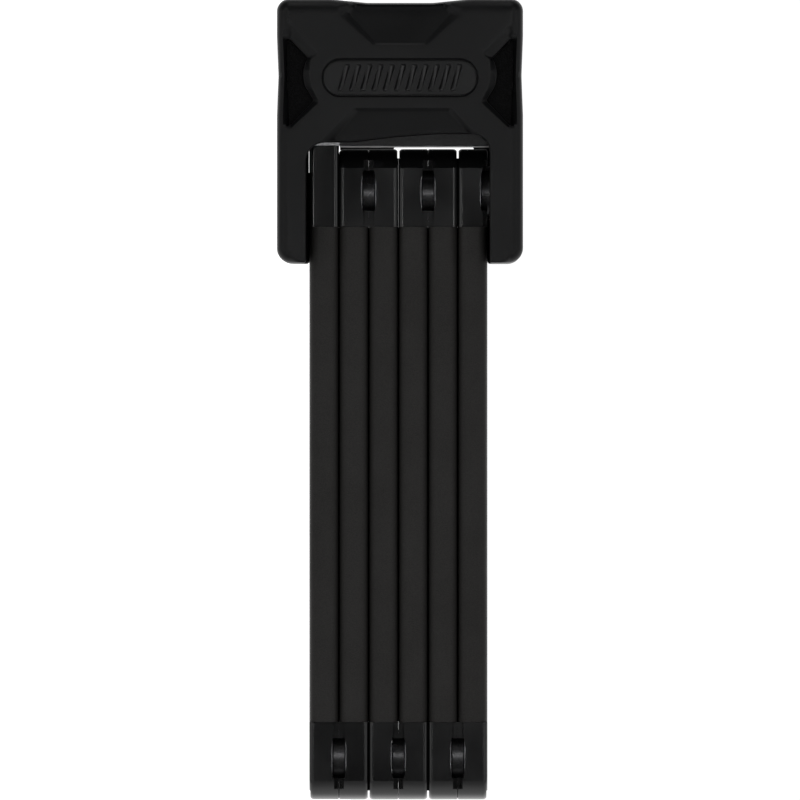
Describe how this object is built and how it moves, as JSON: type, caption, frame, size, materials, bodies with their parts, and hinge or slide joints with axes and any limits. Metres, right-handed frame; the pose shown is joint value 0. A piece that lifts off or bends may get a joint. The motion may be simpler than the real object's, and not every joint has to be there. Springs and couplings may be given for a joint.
{
  "type": "folding bike lock",
  "caption": "Folding bike lock: flat steel links with soft sleeves, riveted like a carpenter's rule and folded between the arms of a moulded lock head.",
  "frame": {"origin": "centre of the bounding box's bottom face, on the surface that the lock lies on, under its latch side", "axes": "+X along the folded links, from the lock head to the far hinge ends; -Y is the relief face of the head; +Z from the latch arm to the arm with the first hinge, along the hinge axes"},
  "size_m": [0.2426, 0.04, 0.0744],
  "materials": {
    "cover_plastic": "soft satin, near black, fine grain",
    "badge_plastic": "satin black",
    "insert_rubber": "black rubber with a fine raised texture",
    "shutter_plastic": "satin black",
    "sleeve_soft": "matte soft coating, warm dark grey, fine speckle",
    "cap_gloss": "glossy black",
    "bar_steel": "hardened steel, dark zinc",
    "rivet_steel": "black zinc, semi gloss",
    "core_steel": "black e-coat",
    "plate_steel": "ground steel",
    "screw_steel": "dark zinc",
    "brass": "machined brass"
  },
  "bodies": {
    "head": {"core_block": "core_steel", "tongue_guide": "plate_steel", "strike_block": "core_steel", "side_plate_pivot": "plate_steel", "side_plate_latch": "plate_steel", "side_plate_screws": "screw_steel", "mechanism_plate": "core_steel", "mechanism_screws": "screw_steel", "cylinder_barrel": "brass", "barrel_pin": "screw_steel", "bolt_bush": "brass", "cover_front": "cover_plastic", "cover_rear": "cover_plastic", "cover_screws": "screw_steel", "badge_plate": "badge_plastic", "grip_insert_latch": "insert_rubber", "grip_insert_pivot": "insert_rubber", "keyway_seal": "insert_rubber", "rivet_1": "rivet_steel", "washer_1": "rivet_steel"},
    "shutter": {"keyhole_shutter": "shutter_plastic"},
    "key_plug": {"cylinder_plug": "brass", "drill_disc": "plate_steel", "detainer_discs": "screw_steel", "sidebar": "brass", "tail_crank": "plate_steel"},
    "bolt": {"lock_bolt": "rivet_steel", "bolt_yoke": "plate_steel"},
    "link_1": {"link_1_bar": "bar_steel", "link_1_sleeve": "sleeve_soft", "link_1_end_caps": "cap_gloss", "rivet_2": "rivet_steel", "washer_2": "rivet_steel"},
    "link_2": {"link_2_bar": "bar_steel", "link_2_sleeve": "sleeve_soft", "link_2_end_caps": "cap_gloss", "rivet_3": "rivet_steel", "washer_3": "rivet_steel"},
    "link_3": {"link_3_bar": "bar_steel", "link_3_sleeve": "sleeve_soft", "link_3_end_caps": "cap_gloss", "rivet_4": "rivet_steel", "washer_4": "rivet_steel"},
    "link_4": {"link_4_bar": "bar_steel", "link_4_sleeve": "sleeve_soft", "link_4_end_caps": "cap_gloss", "rivet_5": "rivet_steel", "washer_5": "rivet_steel"},
    "link_5": {"link_5_bar": "bar_steel", "link_5_sleeve": "sleeve_soft", "link_5_end_caps": "cap_gloss", "rivet_6": "rivet_steel", "washer_6": "rivet_steel"},
    "link_6": {"link_6_bar": "bar_steel", "link_6_sleeve": "sleeve_soft", "link_6_end_caps": "cap_gloss"}
  },
  "joints": [
    {"name": "key_turn", "type": "hinge", "parent": "head", "child": "key_plug", "pos_m": [-0.10795, 0, 0.0372], "axis": [-1, 0, 0], "range_deg": [0, 90]},
    {"name": "bolt_throw", "type": "slide", "parent": "head", "child": "bolt", "axis": [0, 0, -1], "range_m": [0, 0.00848]},
    {"name": "shutter_slide", "type": "slide", "parent": "head", "child": "shutter", "axis": [0, 0, 1], "range_m": [0, 0.0095]},
    {"name": "hinge_1", "type": "hinge", "parent": "head", "child": "link_1", "pos_m": [-0.06295, 0, 0.0592], "axis": [0, 0, -1], "range_deg": [0, 95]},
    {"name": "hinge_2", "type": "hinge", "parent": "link_1", "child": "link_2", "pos_m": [0.10805, 0, 0.0502], "axis": [0, 0, -1], "range_deg": [0, 180]},
    {"name": "hinge_3", "type": "hinge", "parent": "link_2", "child": "link_3", "pos_m": [-0.06295, 0, 0.0412], "axis": [0, 0, -1], "range_deg": [0, 95]},
    {"name": "hinge_4", "type": "hinge", "parent": "link_3", "child": "link_4", "pos_m": [0.10805, 0, 0.0322], "axis": [0, 0, -1], "range_deg": [0, 180]},
    {"name": "hinge_5", "type": "hinge", "parent": "link_4", "child": "link_5", "pos_m": [-0.06295, 0, 0.0232], "axis": [0, 0, -1], "range_deg": [0, 95]},
    {"name": "hinge_6", "type": "hinge", "parent": "link_5", "child": "link_6", "pos_m": [0.10805, 0, 0.0142], "axis": [0, 0, -1], "range_deg": [0, 180]}
  ],
  "couplings": [
    {"joint": "key_turn", "follows": "bolt_throw", "rad_per_m": 185.12}
  ]
}
